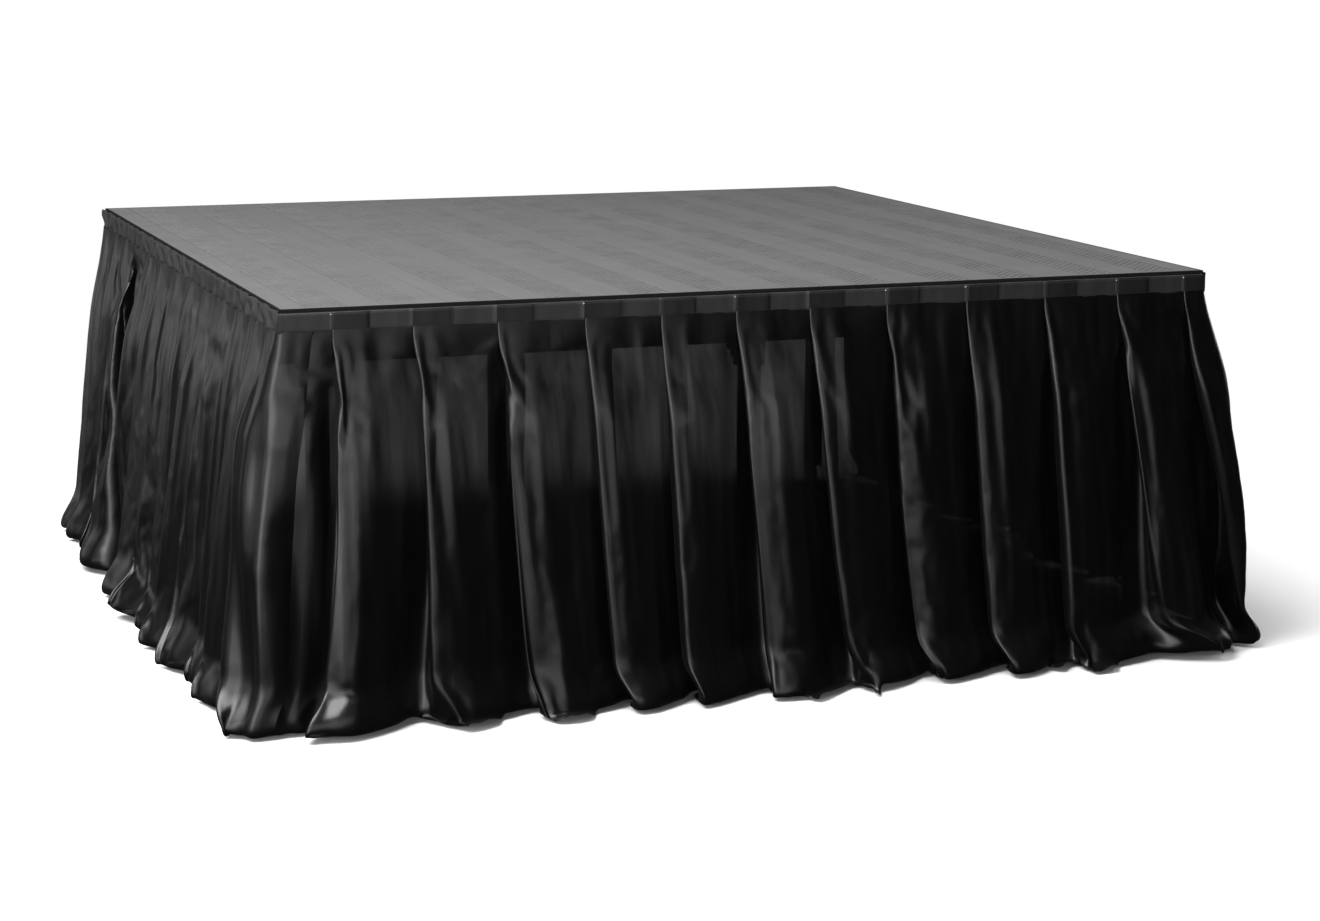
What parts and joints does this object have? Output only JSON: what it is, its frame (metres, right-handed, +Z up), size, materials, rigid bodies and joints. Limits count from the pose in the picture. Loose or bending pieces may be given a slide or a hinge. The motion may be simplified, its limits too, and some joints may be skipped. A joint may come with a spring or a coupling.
{
  "type": "stage riser platform",
  "caption": "Square stage riser: planked anti-slip deck on a beam frame with plug-in legs and levelling feet, skirted in pleated satin on the front and sides.",
  "frame": {"origin": "floor level, centre of the whole footprint with the skirts", "axes": "+X to the right along the front edge, +Y to the open rear, +Z up"},
  "size_m": [2.28, 2.14, 0.82],
  "materials": {
    "deck_aluminium": "satin",
    "black_aluminium": "satin",
    "mill_aluminium": "satin",
    "cast_aluminium": "matte",
    "leg_aluminium": "satin",
    "black_plastic": "matte",
    "zinc_steel": "satin",
    "foot_rubber": "matte",
    "loop_tape": "matte",
    "band_satin": "satin",
    "skirt_satin": "satin"
  },
  "bodies": {
    "platform": {"deck_plank_1": "deck_aluminium", "deck_plank_2": "deck_aluminium", "deck_plank_3": "deck_aluminium", "deck_plank_4": "deck_aluminium", "deck_plank_5": "deck_aluminium", "deck_plank_6": "deck_aluminium", "edge_beam_front": "black_aluminium", "edge_beam_right": "black_aluminium", "edge_beam_rear": "black_aluminium", "edge_beam_left": "black_aluminium", "joist_front": "mill_aluminium", "joist_middle": "mill_aluminium", "joist_rear": "mill_aluminium", "plank_clips": "mill_aluminium", "leg_socket_front_left": "cast_aluminium", "leg_socket_front_middle": "cast_aluminium", "leg_socket_front_right": "cast_aluminium", "leg_socket_rear_left": "cast_aluminium", "leg_socket_rear_middle": "cast_aluminium", "leg_socket_rear_right": "cast_aluminium", "loop_tape_front": "loop_tape", "loop_tape_right": "loop_tape", "loop_tape_left": "loop_tape", "skirt_band_front": "band_satin", "skirt_band_right": "band_satin", "skirt_band_left": "band_satin", "skirt_front": "skirt_satin", "skirt_right": "skirt_satin", "skirt_left": "skirt_satin"},
    "leg_front_left": {"leg_tube_front_left": "leg_aluminium"},
    "knob_front_left": {"clamp_knob_front_left": "black_plastic"},
    "foot_front_left": {"foot_front_left": "foot_rubber"},
    "spindle_front_left": {"spindle_front_left": "zinc_steel"},
    "leg_front_middle": {"leg_tube_front_middle": "leg_aluminium"},
    "knob_front_middle": {"clamp_knob_front_middle": "black_plastic"},
    "foot_front_middle": {"foot_front_middle": "foot_rubber"},
    "spindle_front_middle": {"spindle_front_middle": "zinc_steel"},
    "leg_front_right": {"leg_tube_front_right": "leg_aluminium"},
    "knob_front_right": {"clamp_knob_front_right": "black_plastic"},
    "foot_front_right": {"foot_front_right": "foot_rubber"},
    "spindle_front_right": {"spindle_front_right": "zinc_steel"},
    "leg_rear_left": {"leg_tube_rear_left": "leg_aluminium"},
    "knob_rear_left": {"clamp_knob_rear_left": "black_plastic"},
    "foot_rear_left": {"foot_rear_left": "foot_rubber"},
    "spindle_rear_left": {"spindle_rear_left": "zinc_steel"},
    "leg_rear_middle": {"leg_tube_rear_middle": "leg_aluminium"},
    "knob_rear_middle": {"clamp_knob_rear_middle": "black_plastic"},
    "foot_rear_middle": {"foot_rear_middle": "foot_rubber"},
    "spindle_rear_middle": {"spindle_rear_middle": "zinc_steel"},
    "leg_rear_right": {"leg_tube_rear_right": "leg_aluminium"},
    "knob_rear_right": {"clamp_knob_rear_right": "black_plastic"},
    "foot_rear_right": {"foot_rear_right": "foot_rubber"},
    "spindle_rear_right": {"spindle_rear_right": "zinc_steel"}
  },
  "joints": [
    {"name": "leg_slide_front_left", "type": "slide", "parent": "platform", "child": "leg_front_left", "axis": [0, 0, -1], "range_m": [0, 0.1]},
    {"name": "knob_turn_front_left", "type": "hinge", "parent": "platform", "child": "knob_front_left", "pos_m": [-0.908, -0.782, 0.684], "axis": [0, 1, 0], "range_deg": [0, 360]},
    {"name": "foot_level_front_left", "type": "slide", "parent": "leg_front_left", "child": "foot_front_left", "axis": [0, 0, -1], "range_m": [0, 0.03]},
    {"name": "spindle_turn_front_left", "type": "hinge", "parent": "foot_front_left", "child": "spindle_front_left", "pos_m": [-0.908, -0.838, 0.04], "axis": [0, 0, -1], "range_deg": [0, 2720]},
    {"name": "leg_slide_front_middle", "type": "slide", "parent": "platform", "child": "leg_front_middle", "axis": [0, 0, -1], "range_m": [0, 0.1]},
    {"name": "knob_turn_front_middle", "type": "hinge", "parent": "platform", "child": "knob_front_middle", "pos_m": [0, -0.782, 0.684], "axis": [0, 1, 0], "range_deg": [0, 360]},
    {"name": "foot_level_front_middle", "type": "slide", "parent": "leg_front_middle", "child": "foot_front_middle", "axis": [0, 0, -1], "range_m": [0, 0.03]},
    {"name": "spindle_turn_front_middle", "type": "hinge", "parent": "foot_front_middle", "child": "spindle_front_middle", "pos_m": [0, -0.838, 0.04], "axis": [0, 0, -1], "range_deg": [0, 2720]},
    {"name": "leg_slide_front_right", "type": "slide", "parent": "platform", "child": "leg_front_right", "axis": [0, 0, -1], "range_m": [0, 0.1]},
    {"name": "knob_turn_front_right", "type": "hinge", "parent": "platform", "child": "knob_front_right", "pos_m": [0.908, -0.782, 0.684], "axis": [0, 1, 0], "range_deg": [0, 360]},
    {"name": "foot_level_front_right", "type": "slide", "parent": "leg_front_right", "child": "foot_front_right", "axis": [0, 0, -1], "range_m": [0, 0.03]},
    {"name": "spindle_turn_front_right", "type": "hinge", "parent": "foot_front_right", "child": "spindle_front_right", "pos_m": [0.908, -0.838, 0.04], "axis": [0, 0, -1], "range_deg": [0, 2720]},
    {"name": "leg_slide_rear_left", "type": "slide", "parent": "platform", "child": "leg_rear_left", "axis": [0, 0, -1], "range_m": [0, 0.1]},
    {"name": "knob_turn_rear_left", "type": "hinge", "parent": "platform", "child": "knob_rear_left", "pos_m": [-0.908, 0.922, 0.684], "axis": [0, -1, 0], "range_deg": [0, 360]},
    {"name": "foot_level_rear_left", "type": "slide", "parent": "leg_rear_left", "child": "foot_rear_left", "axis": [0, 0, -1], "range_m": [0, 0.03]},
    {"name": "spindle_turn_rear_left", "type": "hinge", "parent": "foot_rear_left", "child": "spindle_rear_left", "pos_m": [-0.908, 0.978, 0.04], "axis": [0, 0, -1], "range_deg": [0, 2720]},
    {"name": "leg_slide_rear_middle", "type": "slide", "parent": "platform", "child": "leg_rear_middle", "axis": [0, 0, -1], "range_m": [0, 0.1]},
    {"name": "knob_turn_rear_middle", "type": "hinge", "parent": "platform", "child": "knob_rear_middle", "pos_m": [0, 0.922, 0.684], "axis": [0, -1, 0], "range_deg": [0, 360]},
    {"name": "foot_level_rear_middle", "type": "slide", "parent": "leg_rear_middle", "child": "foot_rear_middle", "axis": [0, 0, -1], "range_m": [0, 0.03]},
    {"name": "spindle_turn_rear_middle", "type": "hinge", "parent": "foot_rear_middle", "child": "spindle_rear_middle", "pos_m": [0, 0.978, 0.04], "axis": [0, 0, -1], "range_deg": [0, 2720]},
    {"name": "leg_slide_rear_right", "type": "slide", "parent": "platform", "child": "leg_rear_right", "axis": [0, 0, -1], "range_m": [0, 0.1]},
    {"name": "knob_turn_rear_right", "type": "hinge", "parent": "platform", "child": "knob_rear_right", "pos_m": [0.908, 0.922, 0.684], "axis": [0, -1, 0], "range_deg": [0, 360]},
    {"name": "foot_level_rear_right", "type": "slide", "parent": "leg_rear_right", "child": "foot_rear_right", "axis": [0, 0, -1], "range_m": [0, 0.03]},
    {"name": "spindle_turn_rear_right", "type": "hinge", "parent": "foot_rear_right", "child": "spindle_rear_right", "pos_m": [0.908, 0.978, 0.04], "axis": [0, 0, -1], "range_deg": [0, 2720]}
  ],
  "couplings": [
    {"joint": "spindle_turn_front_left", "follows": "foot_level_front_left", "rad_per_m": 1570.8},
    {"joint": "spindle_turn_front_middle", "follows": "foot_level_front_middle", "rad_per_m": 1570.8},
    {"joint": "spindle_turn_front_right", "follows": "foot_level_front_right", "rad_per_m": 1570.8},
    {"joint": "spindle_turn_rear_left", "follows": "foot_level_rear_left", "rad_per_m": 1570.8},
    {"joint": "spindle_turn_rear_middle", "follows": "foot_level_rear_middle", "rad_per_m": 1570.8},
    {"joint": "spindle_turn_rear_right", "follows": "foot_level_rear_right", "rad_per_m": 1570.8}
  ]
}
